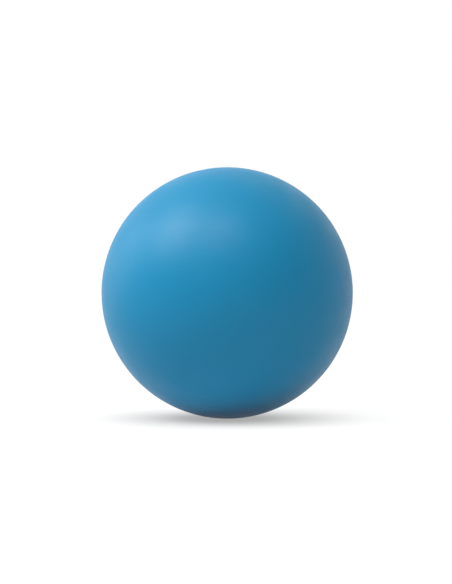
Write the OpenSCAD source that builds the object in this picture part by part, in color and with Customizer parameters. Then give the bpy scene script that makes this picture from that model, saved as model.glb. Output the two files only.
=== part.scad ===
// Inflated rubber dodgeball: a smooth moulded cover over a thread-wound carcass and an air bladder,
// with a self-sealing needle valve. The ball's centre is the origin, and the valve opens towards +Y.

/* [Ball] */
// Outside diameter of the cover
ball_d = 216; // [150:1:330]

/* [Layers, from the outside in] */
// Wall of the coloured rubber cover
cover_wall = 1.0; // [0.8:0.1:2.5]
// Wall of the rubber layer that ties the cover to the winding
carcass_wall = 0.4; // [0.3:0.1:1.2]
// Thickness of the nylon thread winding
winding_wall = 0.4; // [0.3:0.1:1.0]
// Wall of the air bladder
bladder_wall = 0.8; // [0.5:0.1:2.0]
// Film of rubber cement between two layers
bond_line = 0.05; // [0.02:0.01:0.10]

/* [Marks of the mould] */
// Width of the trimmed flash line round the ball, half way from the valve to the far side
flash_w = 0.8; // [0.4:0.1:2.0]
// Height of the flash line above the cover
flash_h = 0.15; // [0.05:0.05:0.40]
// Diameter of the raised ring that shows where the valve is
ring_d = 24; // [20:1:40]
// Width of the ring
ring_w = 1.4; // [0.8:0.1:2.5]
// Height of the ring above the cover
ring_h = 0.35; // [0.10:0.05:0.60]

/* [Bladder panels] */
// Number of sheet panels that the bladder is pressed together from
panel_count = 4; // [2:1:8]
// Width of the lap where two panels meet
lap_w = 6; // [3:0.5:12]
// Height of the lap on the bladder's inner face
lap_h = 0.3; // [0.1:0.1:0.8]

/* [Valve boot] */
// Diameter of the neck that fills the holes in the layers
neck_d = 9; // [7.5:0.5:14]
// Depth of the neck's end below the cover
neck_recess = 0.6; // [0.3:0.1:0.8]
// Gap between the neck and the layers round it
neck_fit = 0.05; // [0.02:0.01:0.20]
// Width of the bevelled lip in the cover round the neck
lip_w = 1.0; // [0.5:0.1:2.0]
// Diameter of the flange under the bladder
flange_d = 38; // [26:1:60]
// Thickness of the flange in the middle
flange_t = 1.4; // [1.0:0.1:2.4]
// Thickness of the flange at its rim
flange_rim_t = 0.5; // [0.3:0.1:0.9]
// Outside diameter of the barrel that stands into the air space
barrel_d = 13; // [11:0.5:18]
// Length of the barrel below the bladder's inner face
barrel_l = 16; // [12:1:30]
// Bevel at the barrel's inner end
barrel_bevel = 1.2; // [0.4:0.2:1.6]
// Diameter of the mouth that the plug shows in
mouth_d = 4.6; // [4.0:0.2:5.2]
// Diameter of the pocket that holds the plug's body
pocket_d = 8; // [7.0:0.5:9.0]
// Thickness of the shoulder between the pocket and the bladder's inner face
shoulder_t = 1.6; // [1.0:0.2:3.0]
// Thickness of the barrel's end wall
end_wall = 1.5; // [1.0:0.5:3.0]
// Diameter of the hole in the end wall, for the needle's tip and the air
end_hole_d = 3.4; // [2.4:0.2:5.0]

/* [Valve plug] */
// Gap left all round the plug in the boot
plug_fit = 0.05; // [0.02:0.01:0.10]
// Depth of the plug's end below the neck's end
plug_recess = 0.5; // [0.2:0.1:1.0]
// Bevel round the top of the plug's body
plug_bevel = 0.6; // [0.2:0.1:0.8]
// Diameter of the passage that grips a 2 mm inflation needle
needle_bore_d = 1.8; // [1.2:0.1:2.2]
// Length of the passage
needle_bore_l = 6.2; // [4.0:0.2:8.0]
// Diameter of the dimple that guides the needle in
dimple_d = 3.2; // [2.6:0.2:3.6]
// Depth of the dimple
dimple_depth = 0.8; // [0.4:0.1:1.5]
// Width of the self-sealing slit below the passage
slit_w = 2.4; // [1.6:0.2:3.0]
// Gap that is left open in the slit
slit_gap = 0.1; // [0.05:0.05:0.20]

/* [Valve patch] */
// Diameter of the fabric ring that fills the opening in the winding
patch_d = 28; // [20:1:50]
// Gap between the patch and the winding
patch_fit = 0.1; // [0.05:0.05:0.50]

/* [Hidden] */

$fn = 180;

// How far a cutting shape runs past what it cuts
overrun = 2;

// Outer and inner radius of each layer
ball_r = ball_d / 2;
cover_in_r = ball_r - cover_wall;
carcass_r = cover_in_r - bond_line;
carcass_in_r = carcass_r - carcass_wall;
winding_r = carcass_in_r - bond_line;
winding_in_r = winding_r - winding_wall;
bladder_r = winding_in_r - bond_line;
bladder_in_r = bladder_r - bladder_wall;

// Places of the valve's faces, measured from the ball's centre
neck_end = ball_r - neck_recess;
flange_top = bladder_in_r - bond_line;
pocket_top = flange_top - shoulder_t;
barrel_end = flange_top - barrel_l;
pocket_end = barrel_end + end_wall;
plug_top = neck_end - plug_recess;
plug_shoulder = pocket_top - plug_fit;
plug_end = pocket_end + plug_fit;
bore_top = plug_top - dimple_depth;
bore_end = bore_top - needle_bore_l;

// Radii of the valve
neck_r = neck_d / 2;
neck_hole_r = neck_r + neck_fit;
flange_r = flange_d / 2;
barrel_r = barrel_d / 2;
nipple_r = mouth_d / 2 - plug_fit;
plug_r = pocket_d / 2 - plug_fit;
patch_r = patch_d / 2;
bore_r = needle_bore_d / 2;

// Height at which a sphere stands over a point at some distance from its axis
function height_on_sphere(sphere_r, distance) = sqrt(sphere_r * sphere_r - distance * distance);

// Radius of the round that stands proud by h and is w wide at its foot
function bead_r(w, h) = (w * w / 4 + h * h) / (2 * h);

// Turns what is drawn up the Z axis towards the valve side
module towards_valve() rotate([-90, 0, 0]) children();

module shell(outer_r, inner_r)
    difference() {
        sphere(r = outer_r);
        sphere(r = inner_r);
    }

// A shell with the round hole that the valve passes through
module holed_shell(outer_r, inner_r, hole_r)
    difference() {
        shell(outer_r, inner_r);
        cylinder(r = hole_r, h = outer_r + overrun);
    }

// A raised bead round the valve axis, at a given angle from it on the cover
module bead(w, h, angle)
    rotate_extrude()
        translate((ball_r + h - bead_r(w, h)) * [sin(angle), cos(angle)])
            circle(r = bead_r(w, h));

// The bevelled mouth that is cut in the cover down to the neck's end
module lip_cut() {
    bevel_run = overrun / neck_recess;
    rotate_extrude()
        polygon([
            [0, neck_end],
            [neck_hole_r, neck_end],
            [neck_hole_r + lip_w * (1 + bevel_run), ball_r + overrun],
            [0, ball_r + overrun],
        ]);
}

module cover()
    color([0.13, 0.52, 0.71])
        towards_valve()
            difference() {
                union() {
                    sphere(r = ball_r);
                    bead(flash_w, flash_h, 90);
                    bead(ring_w, ring_h, asin(ring_d / 2 / ball_r));
                }
                sphere(r = cover_in_r);
                cylinder(r = neck_hole_r, h = ball_r + overrun);
                lip_cut();
            }

module carcass_rubber()
    color([0.17, 0.17, 0.18])
        towards_valve()
            holed_shell(carcass_r, carcass_in_r, neck_hole_r);

module nylon_winding()
    color([0.88, 0.86, 0.79])
        towards_valve()
            holed_shell(winding_r, winding_in_r, patch_r + patch_fit);

module valve_patch()
    color([0.70, 0.63, 0.48])
        towards_valve()
            intersection() {
                holed_shell(winding_r, winding_in_r, neck_hole_r);
                cylinder(r = patch_r, h = winding_r + overrun);
            }

// The laps stand on the inner face, from the rim of the boot's flange to the far side
module panel_laps()
    difference() {
        intersection() {
            shell(bladder_in_r + bladder_wall / 2, bladder_in_r - lap_h);
            union()
                for (i = [0 : panel_count - 1])
                    rotate(360 / panel_count * i)
                        translate([0, -lap_w / 2, -bladder_r])
                            cube([bladder_r, lap_w, 2 * bladder_r]);
        }
        cylinder(r = flange_r + neck_fit, h = bladder_r + overrun);
    }

module bladder()
    color([0.10, 0.10, 0.11])
        towards_valve()
            union() {
                holed_shell(bladder_r, bladder_in_r, neck_hole_r);
                panel_laps();
            }

// Barrel and flange in one outline: the flange's top follows the bladder, and its underside thins
// towards the rim
module boot_body() {
    rim_z = height_on_sphere(flange_top, flange_r) - flange_rim_t;
    intersection() {
        sphere(r = flange_top);
        rotate_extrude()
            polygon([
                [0, barrel_end],
                [barrel_r - barrel_bevel, barrel_end],
                [barrel_r, barrel_end + barrel_bevel],
                [barrel_r, flange_top - flange_t],
                [flange_r, rim_z],
                [flange_r, flange_top + overrun],
                [0, flange_top + overrun],
            ]);
    }
}

module valve_boot()
    color([0.09, 0.09, 0.10])
        towards_valve()
            difference() {
                union() {
                    boot_body();
                    translate([0, 0, flange_top - flange_t / 2])
                        cylinder(r = neck_r, h = neck_end - flange_top + flange_t / 2);
                }
                translate([0, 0, pocket_end])
                    cylinder(d = pocket_d, h = pocket_top - pocket_end);
                translate([0, 0, pocket_end])
                    cylinder(d = mouth_d, h = neck_end - pocket_end + overrun);
                translate([0, 0, barrel_end - overrun])
                    cylinder(d = end_hole_d, h = end_wall + 2 * overrun);
            }

// The dimple and the passage below it, which the needle goes through
module needle_way()
    rotate_extrude()
        polygon([
            [0, bore_end],
            [bore_r, bore_end],
            [bore_r, bore_top],
            [dimple_d / 2, plug_top],
            [dimple_d / 2, plug_top + overrun],
            [0, plug_top + overrun],
        ]);

module valve_plug()
    color([0.27, 0.27, 0.28])
        towards_valve()
            difference() {
                rotate_extrude()
                    polygon([
                        [0, plug_end],
                        [plug_r, plug_end],
                        [plug_r, plug_shoulder - plug_bevel],
                        [plug_r - plug_bevel, plug_shoulder],
                        [nipple_r, plug_shoulder],
                        [nipple_r, plug_top],
                        [0, plug_top],
                    ]);
                needle_way();
                translate([-slit_w / 2, -slit_gap / 2, plug_end - overrun])
                    cube([slit_w, slit_gap, bore_end - plug_end + 2 * overrun]);
            }

cover();
carcass_rubber();
nylon_winding();
valve_patch();
bladder();
valve_boot();
valve_plug();
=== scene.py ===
import random
from math import asin, cos, pi, radians, sin, sqrt, tan

import bmesh
import bpy
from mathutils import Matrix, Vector, noise


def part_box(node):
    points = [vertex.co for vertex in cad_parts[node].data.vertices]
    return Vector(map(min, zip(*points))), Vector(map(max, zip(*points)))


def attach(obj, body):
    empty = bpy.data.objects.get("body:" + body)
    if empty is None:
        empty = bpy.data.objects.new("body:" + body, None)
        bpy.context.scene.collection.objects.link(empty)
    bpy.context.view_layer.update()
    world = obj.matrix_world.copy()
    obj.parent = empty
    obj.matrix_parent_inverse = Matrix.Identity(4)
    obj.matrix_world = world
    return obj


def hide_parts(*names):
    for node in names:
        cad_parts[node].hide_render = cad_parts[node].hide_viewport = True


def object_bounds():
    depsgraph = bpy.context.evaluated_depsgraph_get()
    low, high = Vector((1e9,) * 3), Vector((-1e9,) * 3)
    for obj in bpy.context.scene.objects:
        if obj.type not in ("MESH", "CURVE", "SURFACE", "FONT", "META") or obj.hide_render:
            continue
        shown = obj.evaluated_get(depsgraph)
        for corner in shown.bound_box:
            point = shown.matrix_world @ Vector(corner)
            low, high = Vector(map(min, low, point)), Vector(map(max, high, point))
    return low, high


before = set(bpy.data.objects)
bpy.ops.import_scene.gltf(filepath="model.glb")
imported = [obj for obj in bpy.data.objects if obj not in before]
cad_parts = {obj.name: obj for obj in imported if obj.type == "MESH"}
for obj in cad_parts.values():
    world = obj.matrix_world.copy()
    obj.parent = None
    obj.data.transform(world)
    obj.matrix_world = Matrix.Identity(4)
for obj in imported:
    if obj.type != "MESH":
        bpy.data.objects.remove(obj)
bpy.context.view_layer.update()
print("frame loaded with", len(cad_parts), "nodes")


# The valve points along +Y, so every outline is drawn in the YZ plane and spun about the Y axis.
# A layer reaches its outer radius on the side away from the valve.

def outerRadius(node):
    return -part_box(node)[0].y


ballRadius = outerRadius("cover")
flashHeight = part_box("cover")[1].z - ballRadius
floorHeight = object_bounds()[0].z
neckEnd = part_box("valve_boot")[1].y  # the valve's neck ends level with the foot of the cover's lip
neckHoleRadius = 0.00455  # the hole that the valve's neck fills in every layer
gap = 0.00005  # the cement between two layers, and the room round the neck and the plug
mergeGap = 1e-6  # vertices nearer than this are one


# Outlines: a chain of vertices that grows from its last one

def startOutline(y, z):
    bm = bmesh.new()
    return bm, bm.verts.new((0, y, z))


def lineTo(bm, last, y, z):
    made = bmesh.ops.extrude_vert_indiv(bm, verts=[last])["verts"][0]
    made.co = (0, y, z)
    return made


def arcTo(bm, last, centre, turn, steps):
    made = bmesh.ops.spin(bm, geom=[last], cent=(0, *centre), axis=(1, 0, 0), angle=turn, steps=steps)
    return made["geom_last"][0]


def roundCorners(bm, corners, offset, segments):
    bmesh.ops.bevel(bm, geom=corners, offset=offset, offset_type="OFFSET", segments=segments,
                    profile=0.5, affect="VERTICES", material=-1, clamp_overlap=True)


def spinRound(bm, steps):
    bmesh.ops.spin(bm, geom=bm.verts[:] + bm.edges[:], cent=(0, 0, 0), axis=(0, 1, 0),
                   angle=radians(360), steps=steps, use_merge=True)
    bmesh.ops.remove_doubles(bm, verts=bm.verts[:], dist=mergeGap)
    bmesh.ops.recalc_face_normals(bm, faces=bm.faces[:])


def angleAt(sphereRadius, distance):
    return asin(distance / sphereRadius)


# A thin round layer with a hole at the valve, whose two edges there are rounded
def layerOutline(outer, inner, holeRadius, cornerRound, sideSteps, cornerSteps=3):
    bm, last = startOutline(-outer, 0)
    last = arcTo(bm, last, (0, 0), angleAt(outer, holeRadius) - radians(180), sideSteps)
    corners = [last]
    last = lineTo(bm, last, sqrt(inner ** 2 - holeRadius ** 2), holeRadius)
    corners.append(last)
    arcTo(bm, last, (0, 0), radians(180) - angleAt(inner, holeRadius), sideSteps)
    roundCorners(bm, corners, cornerRound, cornerSteps)
    return bm


def makePiece(bm, name, node):
    mesh = bpy.data.meshes.new(name)
    bm.to_mesh(mesh)
    bm.free()
    mesh.shade_smooth()
    piece = bpy.data.objects.new(name, mesh)
    bpy.context.collection.objects.link(piece)
    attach(piece, "root")
    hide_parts(node)
    print(name, "made with", len(mesh.polygons), "faces")
    return piece


# The moulded cover, with its flash line, the ring round the valve and the rounded lip

coverSet = {
    "wall": 0.0010,
    "flashWidth": 0.0008,
    "ringRadius": 0.0120,
    "ringWidth": 0.0014,
    "ringHeight": 0.00035,
    "footRound": 0.00030,
    "footSteps": 4,
    "beadSteps": 8,
    "guardWidth": 0.0006,
    "lipWidth": 0.0010,
    "lipRound": 0.00035,
    "lipSteps": 5,
    "trimScale": 90,
    "trimDepth": 0.35,
    "sideSteps": 60,
    "turnSteps": 256,
}


def makeCover(s):
    bm, last = startOutline(-ballRadius, 0)
    corners = []
    guard = s["guardWidth"] / ballRadius  # a short face beside each bead, so the wide ones stay evenly shaded
    at = radians(180)  # angle from the valve's axis
    for beadAngle, width, height in (
        (radians(90), s["flashWidth"], flashHeight),
        (asin(s["ringRadius"] / ballRadius), s["ringWidth"], s["ringHeight"]),
    ):
        footHalf = width / 2 / ballRadius
        last = arcTo(bm, last, (0, 0), beadAngle + footHalf + guard - at, s["sideSteps"])
        last = arcTo(bm, last, (0, 0), -guard, 1)
        corners.append(last)
        radius = (width ** 2 / 4 + height ** 2) / (2 * height)
        far = ballRadius + height - radius
        half = asin(width / 2 / radius)
        last = arcTo(bm, last, (far * cos(beadAngle), far * sin(beadAngle)), -2 * half, s["beadSteps"])
        corners.append(last)
        last = arcTo(bm, last, (0, 0), -guard, 1)
        at = beadAngle - footHalf - guard
    lipAngle = asin((neckHoleRadius + s["lipWidth"]) / ballRadius)
    last = arcTo(bm, last, (0, 0), lipAngle - at, s["beadSteps"])
    lipCorners = [last]
    last = lineTo(bm, last, neckEnd, neckHoleRadius)
    lipCorners.append(last)
    inner = ballRadius - s["wall"]
    innerAngle = asin(neckHoleRadius / inner)
    last = lineTo(bm, last, inner * cos(innerAngle), neckHoleRadius)
    arcTo(bm, last, (0, 0), radians(180) - innerAngle, s["sideSteps"])
    roundCorners(bm, corners, s["footRound"], s["footSteps"])
    roundCorners(bm, lipCorners, s["lipRound"], s["lipSteps"])
    spinRound(bm, s["turnSteps"])
    # The flash was trimmed by hand, so it isn't quite even
    for vert in bm.verts:
        proud = vert.co.length - ballRadius
        if abs(vert.co.y) < s["flashWidth"] and proud > 0:
            share = 0.5 + 0.5 * noise.noise(vert.co * s["trimScale"])
            vert.co *= (ballRadius + proud * (1 - s["trimDepth"] * share)) / vert.co.length
    return makePiece(bm, "moulded_cover", "cover")


cover = makeCover(coverSet)


# The bonded layers under the cover

carcassSet = {
    "wall": 0.0004,
    "cornerRound": 0.0001,
    "sideSteps": 60,
    "turnSteps": 160,
}


def makeCarcass(s):
    outer = outerRadius("carcass_rubber")
    bm = layerOutline(outer, outer - s["wall"], neckHoleRadius, s["cornerRound"], s["sideSteps"])
    spinRound(bm, s["turnSteps"])
    return makePiece(bm, "carcass_layer", "carcass_rubber")


carcass = makeCarcass(carcassSet)

# Nylon thread over a closed bed of earlier turns, wound in great circles that pass the valve's opening
windingSet = {
    "wall": 0.0004,
    "bedDepth": 0.00016,
    "patchRoom": 0.0001,
    "cornerRound": 0.00008,
    "sideSteps": 60,
    "turnSteps": 120,
    "bundles": 60,
    "threads": 3,
    "threadWidth": 0.0007,
    "threadHeight": 0.00014,
    "threadShares": ((0.2, 0.75), (0.5, 1.0), (0.8, 0.75), (1.0, 0.15)),  # of the width and the height
    "sunk": 0.00001,
    "openingClear": 0.2,  # degrees
    "bundleSteps": 96,
    "seed": 7,
}


def makeWinding(s):
    outer = outerRadius("nylon_winding")
    inner = outer - s["wall"]
    bedOuter = outer - s["bedDepth"]
    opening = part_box("valve_patch")[1].x + s["patchRoom"]
    bm = layerOutline(bedOuter, inner, opening, s["cornerRound"], s["sideSteps"])
    spinRound(bm, s["turnSteps"])
    bed = bm.verts.layers.float.new("bed")
    for vert in bm.verts:
        vert[bed] = 1
    rise = (s["bedDepth"] - s["threadHeight"]) / s["bundles"]
    draw = random.Random(s["seed"])
    halfBundle = s["threads"] * s["threadWidth"] / 2
    least = sin(angleAt(inner, opening + halfBundle) + radians(s["openingClear"]))
    for turn in range(s["bundles"]):
        foot = bedOuter + turn * rise - s["sunk"]
        # The outline across the bundle, spun once round the axis that the bundle turns about
        band = bmesh.new()
        last = band.verts.new((0, -halfBundle, foot))
        for thread in range(s["threads"]):
            left = -halfBundle + thread * s["threadWidth"]
            for across, up in s["threadShares"]:
                last = lineTo(band, last, left + across * s["threadWidth"], foot + up * s["threadHeight"])
        last = lineTo(band, last, halfBundle, foot)
        lineTo(band, last, -halfBundle, foot)
        spinRound(band, s["bundleSteps"])
        axis = Vector((0, 0, 0))
        while not least < abs(axis.y) < 1:
            axis = Vector([draw.gauss(0, 1) for side in range(3)]).normalized()
        tilt = Vector((0, 1, 0)).rotation_difference(axis).to_matrix()
        bmesh.ops.rotate(band, verts=band.verts[:], cent=(0, 0, 0), matrix=tilt)
        loose = bpy.data.meshes.new("bundle")
        band.to_mesh(loose)
        band.free()
        bm.from_mesh(loose)
        bpy.data.meshes.remove(loose)
    return makePiece(bm, "wound_thread", "nylon_winding")


winding = makeWinding(windingSet)

patchSet = {
    "wall": 0.0004,
    "edgeRound": 0.00012,
    "edgeSteps": 4,
    "sideSteps": 10,
    "turnSteps": 128,
}


def makePatch(s):
    outer = outerRadius("nylon_winding")
    inner = outer - s["wall"]
    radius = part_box("valve_patch")[1].x
    bm, last = startOutline(sqrt(outer ** 2 - neckHoleRadius ** 2), neckHoleRadius)
    first = last
    sweep = angleAt(outer, radius) - angleAt(outer, neckHoleRadius)
    last = arcTo(bm, last, (0, 0), sweep, s["sideSteps"])
    corners = [last]
    last = lineTo(bm, last, sqrt(inner ** 2 - radius ** 2), radius)
    corners.append(last)
    sweep = angleAt(inner, neckHoleRadius) - angleAt(inner, radius)
    last = arcTo(bm, last, (0, 0), sweep, s["sideSteps"])
    lineTo(bm, last, *first.co.yz)
    roundCorners(bm, corners, s["edgeRound"], s["edgeSteps"])
    spinRound(bm, s["turnSteps"])
    return makePiece(bm, "cloth_patch", "valve_patch")


patch = makePatch(patchSet)


# The bladder, with the laps of its four panels on the inner face

bladderSet = {
    "wall": 0.0008,
    "lapWidth": 0.006,
    "lapHeight": 0.0003,
    "lapRound": 0.00012,
    "lapSteps": 3,
    "innerReach": 0.00005,
    "cornerRound": 0.0002,
    "sideSteps": 72,
    "turnSteps": 144,
}


def makeBladder(s):
    outer = outerRadius("bladder")
    inner = outer - s["wall"]
    bm = layerOutline(outer, inner, neckHoleRadius, s["cornerRound"], s["sideSteps"])
    spinRound(bm, s["turnSteps"])
    half = s["lapWidth"] / 2
    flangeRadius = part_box("valve_boot")[1].x
    lapEnd = sqrt(inner ** 2 - (flangeRadius + gap) ** 2)

    def innerFaces():
        reach = inner + s["innerReach"]
        return [face for face in bm.faces if max(v.co.length for v in face.verts) < reach]

    # Cut the inner face along both sides of each lap, and where the laps stop at the valve's flange
    for point, normal in (((half, 0, 0), (1, 0, 0)), ((-half, 0, 0), (1, 0, 0)), ((0, 0, half), (0, 0, 1)),
                          ((0, 0, -half), (0, 0, 1)), ((0, lapEnd, 0), (0, 1, 0))):
        faces = innerFaces()
        edges = list(dict.fromkeys(edge for face in faces for edge in face.edges))
        verts = list(dict.fromkeys(vert for face in faces for vert in face.verts))
        bmesh.ops.bisect_plane(bm, geom=verts + edges + faces, dist=mergeGap, plane_co=point,
                               plane_no=normal)
    laps = []
    for face in innerFaces():
        middle = face.calc_center_median()
        if middle.y < lapEnd and (abs(middle.x) < half or abs(middle.z) < half):
            laps.append(face)
    made = bmesh.ops.extrude_face_region(bm, geom=laps)["geom"]
    bmesh.ops.delete(bm, geom=laps, context="FACES")
    raised = [item for item in made if isinstance(item, bmesh.types.BMVert)]
    shrink = (inner - s["lapHeight"]) / inner
    bmesh.ops.scale(bm, verts=raised, vec=(shrink, shrink, shrink))
    lapTop = {item for item in made if isinstance(item, bmesh.types.BMFace)}
    rim = [edge for edge in bm.edges if sum(face in lapTop for face in edge.link_faces) == 1]
    bmesh.ops.bevel(bm, geom=rim, offset=s["lapRound"], offset_type="OFFSET", segments=s["lapSteps"],
                    profile=0.5, affect="EDGES", material=-1, clamp_overlap=True)
    bmesh.ops.remove_doubles(bm, verts=bm.verts[:], dist=mergeGap / 10)
    bmesh.ops.recalc_face_normals(bm, faces=bm.faces[:])
    return makePiece(bm, "air_bladder", "bladder")


bladder = makeBladder(bladderSet)


# The valve: a moulded boot, and the soft plug that seals it

bootSet = {
    "neckRound": 0.00025,
    "mouthRadius": 0.0023,
    "mouthRound": 0.0002,
    "flangeThick": 0.0014,
    "flangeRim": 0.0005,
    "rimRound": 0.00015,
    "barrelRadius": 0.0065,
    "barrelBevel": 0.0012,
    "barrelRound": 0.0004,
    "rootRound": 0.0012,
    "pocketRadius": 0.004,
    "pocketRound": 0.00015,
    "shoulderThick": 0.0016,
    "endWall": 0.0015,
    "endHoleRadius": 0.0017,
    "flangeSteps": 12,
    "roundSteps": 5,
    "turnSteps": 112,
}

flangeTop = outerRadius("bladder") - bladderSet["wall"] - gap
pocketTop = flangeTop - bootSet["shoulderThick"]


def makeBoot(s):
    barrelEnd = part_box("valve_boot")[0].y
    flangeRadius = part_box("valve_boot")[1].x
    pocketEnd = barrelEnd + s["endWall"]
    neckRadius = neckHoleRadius - gap
    rim = sqrt(flangeTop ** 2 - flangeRadius ** 2)
    middle = (barrelEnd + pocketEnd) / 2
    bm, last = startOutline(middle, s["endHoleRadius"])
    rounds = []

    def corner(y, z, offset):
        rounds.append((lineTo(bm, last, y, z), offset))
        return rounds[-1][0]

    last = corner(barrelEnd, s["endHoleRadius"], s["pocketRound"])
    last = corner(barrelEnd, s["barrelRadius"] - s["barrelBevel"], s["barrelRound"])
    last = corner(barrelEnd + s["barrelBevel"], s["barrelRadius"], s["barrelRound"])
    last = corner(flangeTop - s["flangeThick"], s["barrelRadius"], s["rootRound"])
    last = corner(rim - s["flangeRim"], flangeRadius, s["rimRound"])
    last = corner(rim, flangeRadius, s["rimRound"])
    sweep = angleAt(flangeTop, flangeRadius) - angleAt(flangeTop, neckRadius)
    last = arcTo(bm, last, (0, 0), -sweep, s["flangeSteps"])
    last = corner(neckEnd, neckRadius, s["neckRound"])
    last = corner(neckEnd, s["mouthRadius"], s["mouthRound"])
    last = corner(pocketTop, s["mouthRadius"], s["pocketRound"])
    last = corner(pocketTop, s["pocketRadius"], s["pocketRound"])
    last = corner(pocketEnd, s["pocketRadius"], s["pocketRound"])
    last = corner(pocketEnd, s["endHoleRadius"], s["pocketRound"])
    lineTo(bm, last, middle, s["endHoleRadius"])
    for offset in sorted({size for vert, size in rounds}):
        roundCorners(bm, [vert for vert, size in rounds if size == offset], offset, s["roundSteps"])
    spinRound(bm, s["turnSteps"])
    return makePiece(bm, "valve_housing", "valve_boot")


boot = makeBoot(bootSet)

plugSet = {
    "topRound": 0.0003,
    "dimpleRadius": 0.0016,
    "dimpleDepth": 0.0008,
    "dimpleRound": 0.0002,
    "boreRadius": 0.0009,
    "boreLength": 0.0062,
    "bodyBevel": 0.0006,
    "bodyRound": 0.0002,
    "slitWidth": 0.0024,
    "slitGap": 0.0001,
    "slitOverrun": 0.0005,
    "roundSteps": 4,
    "turnSteps": 72,
}


def makePlug(s):
    low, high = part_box("valve_plug")
    end, top, bodyRadius = low.y, high.y, high.x
    nippleRadius = bootSet["mouthRadius"] - gap
    shoulder = pocketTop - gap
    boreTop = top - s["dimpleDepth"]
    boreEnd = boreTop - s["boreLength"]
    bm, last = startOutline(end, 0)
    rounds = []

    def corner(y, z, offset):
        rounds.append((lineTo(bm, last, y, z), offset))
        return rounds[-1][0]

    last = corner(end, bodyRadius, s["bodyRound"])
    last = corner(shoulder - s["bodyBevel"], bodyRadius, s["bodyRound"])
    last = corner(shoulder, bodyRadius - s["bodyBevel"], s["bodyRound"])
    last = lineTo(bm, last, shoulder, nippleRadius)
    last = corner(top, nippleRadius, s["topRound"])
    last = corner(top, s["dimpleRadius"], s["dimpleRound"])
    last = corner(boreTop, s["boreRadius"], s["dimpleRound"])
    last = lineTo(bm, last, boreEnd, s["boreRadius"])
    lineTo(bm, last, boreEnd, 0)
    for offset in sorted({size for vert, size in rounds}):
        roundCorners(bm, [vert for vert, size in rounds if size == offset], offset, s["roundSteps"])
    spinRound(bm, s["turnSteps"])
    plug = makePiece(bm, "sealing_plug", "valve_plug")

    # The slit that closes behind the needle
    blade = bmesh.new()
    bmesh.ops.create_cube(blade, size=1)
    depth = boreEnd - end + 2 * s["slitOverrun"]
    bmesh.ops.scale(blade, verts=blade.verts[:], vec=(s["slitWidth"], depth, s["slitGap"]))
    bmesh.ops.translate(blade, verts=blade.verts[:], vec=(0, (boreEnd + end) / 2, 0))
    mesh = bpy.data.meshes.new("blade")
    blade.to_mesh(mesh)
    blade.free()
    cutter = bpy.data.objects.new("blade", mesh)
    bpy.context.collection.objects.link(cutter)
    cut = plug.modifiers.new("slit", "BOOLEAN")
    cut.operation = "DIFFERENCE"
    cut.solver = "EXACT"
    cut.object = cutter
    solid = bpy.data.meshes.new_from_object(plug.evaluated_get(bpy.context.evaluated_depsgraph_get()))
    plug.modifiers.clear()
    whole, plug.data = plug.data, solid
    bpy.data.meshes.remove(whole)
    bpy.data.objects.remove(cutter)
    bpy.data.meshes.remove(mesh)
    return plug


plug = makePlug(plugSet)


# Finishes: everything reads Object coordinates, in metres, so the grain keeps its real size

def newMaterial(name):
    material = bpy.data.materials.new(name)
    material.use_nodes = True
    nodes = material.node_tree.nodes
    return material, nodes, material.node_tree.links, nodes["Principled BSDF"]


def addNode(nodes, links, kind, values=None, inputs=None, **settings):
    node = nodes.new(kind)
    for name, value in settings.items():
        setattr(node, name, value)
    for name, value in (values or {}).items():
        node.inputs[name].default_value = value
    for name, socket in (inputs or {}).items():
        links.new(socket, node.inputs[name])
    return node


def spread(nodes, links, value, fromLow, fromHigh, low, high):
    return addNode(nodes, links, "ShaderNodeMapRange",
                   {"From Min": fromLow, "From Max": fromHigh, "To Min": low, "To Max": high},
                   {"Value": value}).outputs["Result"]


def patches(nodes, links, place, size, detail):
    return addNode(nodes, links, "ShaderNodeTexNoise", {"Scale": 1 / size, "Detail": detail},
                   {"Vector": place}).outputs["Fac"]


noiseLow, noiseHigh = 0.3, 0.7  # nearly all values of a noise texture lie between these


def grain(nodes, links, place, size, detail=2.0, low=0.0, high=1.0):
    return spread(nodes, links, patches(nodes, links, place, size, detail), noiseLow, noiseHigh, low, high)


def reckon(nodes, links, operation, first, second=None):
    node = nodes.new("ShaderNodeMath")
    node.operation = operation
    for socket, value in ((node.inputs[0], first), (node.inputs[1], second)):
        if isinstance(value, (int, float)):
            socket.default_value = value
        elif value is not None:
            links.new(value, socket)
    return node.outputs[0]


def blendColours(nodes, links, share, first, second):
    node = nodes.new("ShaderNodeMix")
    node.data_type = "RGBA"
    links.new(share, node.inputs["Factor"])
    for name, value in (("A_Color", first), ("B_Color", second)):
        socket = next(s for s in node.inputs if s.identifier == name)
        if isinstance(value, tuple):
            socket.default_value = value
        else:
            links.new(value, socket)
    return next(s for s in node.outputs if s.identifier == "Result_Color")


def relief(nodes, links, height, depth, before=None):
    node = addNode(nodes, links, "ShaderNodeBump", {"Strength": 1.0, "Distance": depth}, {"Height": height})
    if before is not None:
        links.new(before, node.inputs["Normal"])
    return node.outputs["Normal"]


coverRubberSet = {
    "colour": (0.001, 0.242, 0.460, 1),
    "paleColour": (0.003, 0.250, 0.474, 1),
    "trimmedColour": (0.012, 0.262, 0.480, 1),
    "cloudSize": 0.05,
    "cloudShare": 0.7,
    "speckSize": 0.0014,
    "speckShare": 0.3,
    "trimmedHalf": 0.00042,
    "trimmedFade": 0.000084,
    "roughFrom": 0.43,
    "roughTo": 0.50,
    "roughSize": 0.02,
    "trimmedRough": 0.1,
    "specular": 0.32,
    "grainSize": 0.00045,
    "grainDepth": 0.000025,
    "peelSize": 0.004,
    "peelDepth": 0.00002,
}


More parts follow.
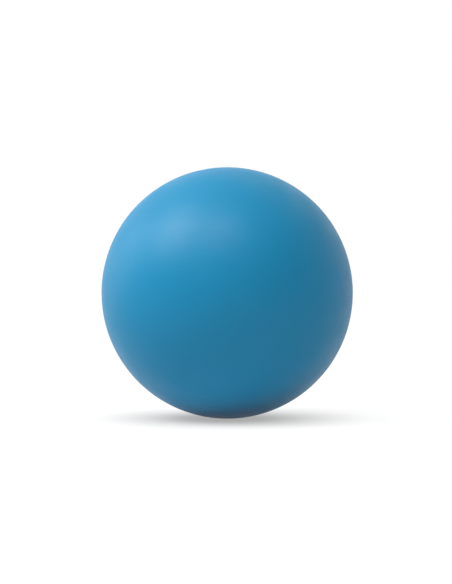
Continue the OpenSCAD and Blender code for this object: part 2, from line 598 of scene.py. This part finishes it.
def coverRubber(s):
    material, nodes, links, shader = newMaterial("coverRubber")
    place = nodes.new("ShaderNodeTexCoord").outputs["Object"]
    cloud = grain(nodes, links, place, s["cloudSize"], detail=3.0, high=s["cloudShare"])
    speck = grain(nodes, links, place, s["speckSize"], high=s["speckShare"])
    share = reckon(nodes, links, "ADD", cloud, speck)
    tone = blendColours(nodes, links, share, s["colour"], s["paleColour"])
    # Where the flash was trimmed, the rubber is a little paler and duller
    axes = addNode(nodes, links, "ShaderNodeSeparateXYZ", inputs={"Vector": place})
    offLine = reckon(nodes, links, "ABSOLUTE", axes.outputs["Y"])
    nearEdge, farEdge = s["trimmedHalf"] - s["trimmedFade"], s["trimmedHalf"] + s["trimmedFade"]
    trimmed = spread(nodes, links, offLine, nearEdge, farEdge, 1, 0)
    links.new(blendColours(nodes, links, trimmed, tone, s["trimmedColour"]), shader.inputs["Base Color"])
    rough = grain(nodes, links, place, s["roughSize"], detail=4.0, low=s["roughFrom"], high=s["roughTo"])
    extra = reckon(nodes, links, "MULTIPLY", trimmed, s["trimmedRough"])
    links.new(reckon(nodes, links, "ADD", rough, extra), shader.inputs["Roughness"])
    shader.inputs["Specular IOR Level"].default_value = s["specular"]
    peel = relief(nodes, links, grain(nodes, links, place, s["peelSize"]), s["peelDepth"])
    fine = relief(nodes, links, grain(nodes, links, place, s["grainSize"]), s["grainDepth"], peel)
    links.new(fine, shader.inputs["Normal"])
    return material


cover.data.materials.append(coverRubber(coverRubberSet))

# The carcass keeps the print of the threads that it was cured on
carcassRubberSet = {
    "colour": (0.026, 0.026, 0.028, 1),
    "paleColour": (0.042, 0.042, 0.044, 1),
    "cloudSize": 0.03,
    "cloudShare": 0.5,
    "printShare": 0.5,
    "roughFrom": 0.66,
    "roughTo": 0.84,
    "roughSize": 0.004,
    "specular": 0.4,
    "threadPitch": 0.0007,
    "threadWobble": 0.6,
    "printDepth": 0.0001,
    "fieldSize": 0.035,
    "fieldWander": 0.05,
    "fieldEdge": 0.0015,
    "threadTurns": ((0.3, 0.2, 0.1), (0.9, 0.5, 1.1), (-0.7, 1.3, 0.4), (1.9, -0.4, 0.8), (0.5, 2.3, -1.2)),
}


# Threads lie side by side in fields, each along its own great circle, and the nearest circle lies on top
def crossedThreads(nodes, links, place, s):
    nearest = height = None
    for turn in s["threadTurns"]:
        turned = addNode(nodes, links, "ShaderNodeMapping", {"Rotation": turn},
                         {"Vector": place}).outputs["Vector"]
        # A wave texture of scale 1 repeats after pi / 10
        lines = addNode(nodes, links, "ShaderNodeTexWave",
                        {"Scale": pi / 10 / s["threadPitch"], "Distortion": s["threadWobble"], "Detail": 1.0},
                        {"Vector": turned}, wave_type="BANDS", wave_profile="SIN").outputs["Fac"]
        axes = addNode(nodes, links, "ShaderNodeSeparateXYZ", inputs={"Vector": turned})
        wander = grain(nodes, links, turned, s["fieldSize"], detail=1.0, high=s["fieldWander"])
        away = reckon(nodes, links, "ADD", reckon(nodes, links, "ABSOLUTE", axes.outputs["X"]), wander)
        if height is None:
            nearest, height = away, lines
            continue
        nearer = reckon(nodes, links, "SUBTRACT", nearest, away)
        above = spread(nodes, links, nearer, -s["fieldEdge"], s["fieldEdge"], 0, 1)
        held = reckon(nodes, links, "MULTIPLY", height, reckon(nodes, links, "SUBTRACT", 1.0, above))
        height = reckon(nodes, links, "ADD", held, reckon(nodes, links, "MULTIPLY", lines, above))
        nearest = reckon(nodes, links, "MINIMUM", nearest, away)
    return height


def carcassRubber(s):
    material, nodes, links, shader = newMaterial("carcassRubber")
    place = nodes.new("ShaderNodeTexCoord").outputs["Object"]
    printed = crossedThreads(nodes, links, place, s)
    cloud = grain(nodes, links, place, s["cloudSize"], detail=4.0, high=s["cloudShare"])
    share = reckon(nodes, links, "ADD", cloud, reckon(nodes, links, "MULTIPLY", printed, s["printShare"]))
    links.new(blendColours(nodes, links, share, s["colour"], s["paleColour"]), shader.inputs["Base Color"])
    links.new(grain(nodes, links, place, s["roughSize"], detail=3.0, low=s["roughFrom"], high=s["roughTo"]),
              shader.inputs["Roughness"])
    shader.inputs["Specular IOR Level"].default_value = s["specular"]
    links.new(relief(nodes, links, printed, s["printDepth"]), shader.inputs["Normal"])
    return material


carcass.data.materials.append(carcassRubber(carcassRubberSet))

# Undyed nylon, with its filaments, a film of rubber cement here and there, and painted shade in the hollows
# between the bed's threads
nylonThreadSet = {
    "colour": (0.74, 0.71, 0.60, 1),
    "darkColour": (0.56, 0.52, 0.41, 1),
    "cementColour": (0.36, 0.28, 0.15, 1),
    "gapShadeColour": (0.34, 0.29, 0.19, 1),
    "cloudSize": 0.02,
    "cloudShare": 0.6,
    "strandSize": 0.0009,
    "strandShare": 0.4,
    "gapFrom": 0.65,
    "gapShare": 0.7,
    "cementSize": 0.012,
    "cementFrom": 0.56,
    "cementTo": 0.66,
    "cementShare": 0.5,
    "roughFrom": 0.38,
    "roughTo": 0.58,
    "sheen": 0.25,
    "threadPitch": 0.0007,
    "threadWobble": 0.6,
    "threadDepth": 0.00012,
    "fieldSize": 0.025,
    "fieldWander": 0.06,
    "fieldEdge": 0.0002,
    "threadTurns": ((0.3, 0.2, 0.1), (0.9, 0.5, 1.1), (-0.7, 1.3, 0.4), (1.9, -0.4, 0.8), (0.5, 2.3, -1.2),
                    (-1.4, 0.9, 2.0)),
    "filamentSize": 0.00018,
    "filamentDepth": 0.00002,
}


def nylonThread(s):
    material, nodes, links, shader = newMaterial("nylonThread")
    place = nodes.new("ShaderNodeTexCoord").outputs["Object"]
    cloud = grain(nodes, links, place, s["cloudSize"], detail=3.0, high=s["cloudShare"])
    strand = grain(nodes, links, place, s["strandSize"], high=s["strandShare"])
    share = reckon(nodes, links, "ADD", cloud, strand)
    thread = blendColours(nodes, links, share, s["colour"], s["darkColour"])
    # The bed shows its threads in the finish, and the bundles over it have theirs in the mesh
    bed = addNode(nodes, links, "ShaderNodeAttribute", attribute_name="bed").outputs["Fac"]
    wound = reckon(nodes, links, "MULTIPLY", crossedThreads(nodes, links, place, s), bed)
    hollow = reckon(nodes, links, "SUBTRACT", bed, wound)
    # Painted shade: the colour darkens where the bed's threads dip into the hollows between them
    between = spread(nodes, links, hollow, s["gapFrom"], 1, 0, s["gapShare"])
    thread = blendColours(nodes, links, between, thread, s["gapShadeColour"])
    smears = patches(nodes, links, place, s["cementSize"], detail=5.0)
    cement = spread(nodes, links, smears, s["cementFrom"], s["cementTo"], 0, s["cementShare"])
    links.new(blendColours(nodes, links, cement, thread, s["cementColour"]), shader.inputs["Base Color"])
    links.new(spread(nodes, links, cement, 0, s["cementShare"], s["roughTo"], s["roughFrom"]),
              shader.inputs["Roughness"])
    shader.inputs["Sheen Weight"].default_value = s["sheen"]
    ribs = relief(nodes, links, wound, s["threadDepth"])
    links.new(relief(nodes, links, grain(nodes, links, place, s["filamentSize"]), s["filamentDepth"], ribs),
              shader.inputs["Normal"])
    return material


winding.data.materials.append(nylonThread(nylonThreadSet))

# Plain-woven cotton under a thin coat of rubber, with painted shade between the yarns
patchClothSet = {
    "warpColour": (0.50, 0.41, 0.25, 1),
    "weftColour": (0.42, 0.34, 0.20, 1),
    "gapShadeColour": (0.12, 0.09, 0.05, 1),
    "yarnPitch": 0.0006,
    "yarnDepth": 0.00012,
    "gapFrom": 0.1,
    "gapTo": 0.6,
    "fuzzSize": 0.00012,
    "fuzzShare": 0.25,
    "roughFrom": 0.72,
    "roughTo": 0.92,
    "roughSize": 0.003,
    "sheen": 0.15,
}


def patchCloth(s):
    material, nodes, links, shader = newMaterial("patchCloth")
    place = nodes.new("ShaderNodeTexCoord").outputs["Object"]
    axes = addNode(nodes, links, "ShaderNodeSeparateXYZ", inputs={"Vector": place})
    across, along = [reckon(nodes, links, "DIVIDE", axes.outputs[name], s["yarnPitch"]) for name in "XZ"]

    # A yarn is a round back from 0 at its sides to 1 at its middle
    def yarn(steps):
        within = reckon(nodes, links, "SUBTRACT", reckon(nodes, links, "FRACT", steps), 0.5)
        squared = reckon(nodes, links, "MULTIPLY", within, within)
        return reckon(nodes, links, "SUBTRACT", 1.0, reckon(nodes, links, "MULTIPLY", squared, 4.0))

    warp, weft = yarn(across), yarn(along)
    cells = reckon(nodes, links, "ADD", reckon(nodes, links, "FLOOR", across),
                   reckon(nodes, links, "FLOOR", along))
    over = reckon(nodes, links, "ABSOLUTE", reckon(nodes, links, "MODULO", cells, 2.0))
    under = reckon(nodes, links, "SUBTRACT", 1.0, over)
    height = reckon(nodes, links, "ADD", reckon(nodes, links, "MULTIPLY", warp, over),
                    reckon(nodes, links, "MULTIPLY", weft, under))
    yarns = blendColours(nodes, links, over, s["weftColour"], s["warpColour"])
    # Painted shade: the colour darkens towards near black where the yarns dip between each other
    between = spread(nodes, links, height, s["gapFrom"], s["gapTo"], 1, 0)
    links.new(blendColours(nodes, links, between, yarns, s["gapShadeColour"]), shader.inputs["Base Color"])
    links.new(grain(nodes, links, place, s["roughSize"], detail=3.0, low=s["roughFrom"], high=s["roughTo"]),
              shader.inputs["Roughness"])
    shader.inputs["Sheen Weight"].default_value = s["sheen"]
    fuzz = grain(nodes, links, place, s["fuzzSize"], high=s["fuzzShare"])
    links.new(relief(nodes, links, reckon(nodes, links, "ADD", height, fuzz), s["yarnDepth"]),
              shader.inputs["Normal"])
    return material


patch.data.materials.append(patchCloth(patchClothSet))

# Black rubbers: the bladder is dusted with talc, the boot is as matt as its mould, the plug is oiled
blackRubberSet = {
    "bladderButyl": {"colour": (0.013, 0.013, 0.015, 1), "dustColour": (0.16, 0.16, 0.155, 1),
                     "dustFrom": 0.50, "dustTo": 0.72, "dustShare": 0.55, "dustSize": 0.018,
                     "roughFrom": 0.42, "roughTo": 0.60, "specular": 0.45,
                     "grainSize": 0.0012, "grainDepth": 0.00002},
    "bootRubber": {"colour": (0.012, 0.012, 0.013, 1), "dustColour": (0.030, 0.030, 0.031, 1),
                   "dustFrom": 0.45, "dustTo": 0.75, "dustShare": 0.8, "dustSize": 0.003,
                   "roughFrom": 0.52, "roughTo": 0.68, "specular": 0.3,
                   "grainSize": 0.00025, "grainDepth": 0.000012},
    "plugRubber": {"colour": (0.046, 0.046, 0.050, 1), "dustColour": (0.070, 0.070, 0.074, 1),
                   "dustFrom": 0.45, "dustTo": 0.75, "dustShare": 0.7, "dustSize": 0.0015,
                   "roughFrom": 0.34, "roughTo": 0.50, "specular": 0.35,
                   "grainSize": 0.0005, "grainDepth": 0.000008},
}


def blackRubber(name, s):
    material, nodes, links, shader = newMaterial(name)
    place = nodes.new("ShaderNodeTexCoord").outputs["Object"]
    dusted = patches(nodes, links, place, s["dustSize"], detail=6.0)
    dust = spread(nodes, links, dusted, s["dustFrom"], s["dustTo"], 0, s["dustShare"])
    links.new(blendColours(nodes, links, dust, s["colour"], s["dustColour"]), shader.inputs["Base Color"])
    links.new(spread(nodes, links, dust, 0, s["dustShare"], s["roughFrom"], s["roughTo"]),
              shader.inputs["Roughness"])
    shader.inputs["Specular IOR Level"].default_value = s["specular"]
    links.new(relief(nodes, links, grain(nodes, links, place, s["grainSize"]), s["grainDepth"]),
              shader.inputs["Normal"])
    return material


for piece, (name, values) in zip((bladder, boot, plug), blackRubberSet.items()):
    piece.data.materials.append(blackRubber(name, values))
print("finishes made for", len(bpy.data.materials), "materials")


# Camera: a long lens that sees the floor below the ball as flatly as the photograph does

cameraSet = {
    "lens": 135,
    "sensor": 36,
    "imageWidth": 452,
    "imageHeight": 584,
    "ballImageRadius": 125.7,
    "ballImageX": 227.2,
    "ballImageY": 293.0,
    "floorAngle": 4.8,
}


def makeCamera(s):
    data = bpy.data.cameras.new("camera")
    data.lens = s["lens"]
    data.sensor_width = s["sensor"]
    longSide = max(s["imageWidth"], s["imageHeight"])
    focalPixels = s["lens"] / s["sensor"] * longSide
    distance = ballRadius * sqrt(1 + (focalPixels / s["ballImageRadius"]) ** 2)
    data.shift_x = (s["imageWidth"] / 2 - s["ballImageX"]) / longSide
    data.shift_y = (s["ballImageY"] - s["imageHeight"] / 2) / longSide
    camera = bpy.data.objects.new("camera", data)
    bpy.context.collection.objects.link(camera)
    up = asin(tan(radians(s["floorAngle"])) - ballRadius / distance)
    camera.location = (0, -distance * cos(up), distance * sin(up))
    camera.rotation_euler = (radians(90) - up, 0, 0)
    bpy.context.scene.camera = camera


makeCamera(cameraSet)


# Stage: a pale floor and plain soft lamps, before a white studio that only the camera and the gloss see

floorSet = {
    "halfWidth": 4.0,
    "colour": (0.7, 0.7, 0.7, 1),
    "shownColour": (0.1, 0.1, 0.1, 1),
    "shadeReach": 1.0,
    "shadeSamples": 16,
    "openFrom": 0.1,
    "openTo": 0.74,
    "glowFrom": 0.405,
    "glowTo": 0.95,
}


def seenDirectly(nodes, links):
    path = nodes.new("ShaderNodeLightPath").outputs
    cameraOrGloss = reckon(nodes, links, "MAXIMUM", path["Is Camera Ray"], path["Is Glossy Ray"])
    return reckon(nodes, links, "MAXIMUM", cameraOrGloss, path["Is Transmission Ray"])


def makeFloor(s):
    bm = bmesh.new()
    bmesh.ops.create_grid(bm, x_segments=1, y_segments=1, size=s["halfWidth"])
    bmesh.ops.translate(bm, verts=bm.verts[:], vec=(0, 0, floorHeight))
    mesh = bpy.data.meshes.new("floor")
    bm.to_mesh(mesh)
    bm.free()
    floor = bpy.data.objects.new("floor", mesh)
    bpy.context.collection.objects.link(floor)
    material, nodes, links, shader = newMaterial("paleFloor")
    nodes.remove(shader)
    plain = addNode(nodes, links, "ShaderNodeBsdfDiffuse", {"Color": s["colour"]})
    shown = addNode(nodes, links, "ShaderNodeBsdfDiffuse", {"Color": s["shownColour"]})
    # The glow is a painted contact shadow: it fades where the ball shuts out the light of the open studio
    openness = addNode(nodes, links, "ShaderNodeAmbientOcclusion", {"Distance": s["shadeReach"]},
                       samples=s["shadeSamples"]).outputs["AO"]
    level = spread(nodes, links, openness, s["openFrom"], s["openTo"], s["glowFrom"], s["glowTo"])
    glow = addNode(nodes, links, "ShaderNodeEmission", inputs={"Strength": level})
    both = nodes.new("ShaderNodeAddShader")
    links.new(shown.outputs[0], both.inputs[0])
    links.new(glow.outputs[0], both.inputs[1])
    choose = nodes.new("ShaderNodeMixShader")
    links.new(seenDirectly(nodes, links), choose.inputs["Fac"])
    links.new(plain.outputs[0], choose.inputs[1])
    links.new(both.outputs[0], choose.inputs[2])
    links.new(choose.outputs[0], nodes["Material Output"].inputs["Surface"])
    mesh.materials.append(material)


makeFloor(floorSet)

# A lamp's level is how bright a white surface that faces it looks
lampSet = {
    "keyLamp": {"azimuth": -75, "elevation": 50, "width": 30, "level": 0.72},
    "sideLamp": {"azimuth": -115, "elevation": 22, "width": 30, "level": 0.14},
    "topLamp": {"azimuth": -11, "elevation": 61, "width": 30, "level": 0.34},
}


def makeLamp(name, s):
    data = bpy.data.lights.new(name, "SUN")
    data.angle = radians(s["width"])
    data.energy = pi * s["level"]
    lamp = bpy.data.objects.new(name, data)
    bpy.context.collection.objects.link(lamp)
    turn, up = radians(s["azimuth"]), radians(s["elevation"])
    toward = Vector((sin(turn) * cos(up), -cos(turn) * cos(up), sin(up)))
    lamp.location = toward
    lamp.rotation_mode = "QUATERNION"
    lamp.rotation_quaternion = toward.to_track_quat("Z", "Y")
    lamp.visible_camera = False


for name, values in lampSet.items():
    makeLamp(name, values)

studioSet = {
    "level": 0.20,
    "shownLevel": 1.0,
}


def makeStudio(s):
    world = bpy.data.worlds.new("studio")
    world.use_nodes = True
    bpy.context.scene.world = world
    nodes, links = world.node_tree.nodes, world.node_tree.links
    light = nodes["Background"]
    light.inputs["Color"].default_value = (1, 1, 1, 1)
    light.inputs["Strength"].default_value = s["level"]
    shown = nodes.new("ShaderNodeBackground")
    shown.inputs["Color"].default_value = (1, 1, 1, 1)
    shown.inputs["Strength"].default_value = s["shownLevel"]
    choose = nodes.new("ShaderNodeMixShader")
    links.new(seenDirectly(nodes, links), choose.inputs["Fac"])
    links.new(light.outputs[0], choose.inputs[1])
    links.new(shown.outputs[0], choose.inputs[2])
    links.new(choose.outputs[0], nodes["World Output"].inputs["Surface"])


makeStudio(studioSet)
bpy.context.scene.view_settings.view_transform = "Standard"
print("camera, stage and lamps made")
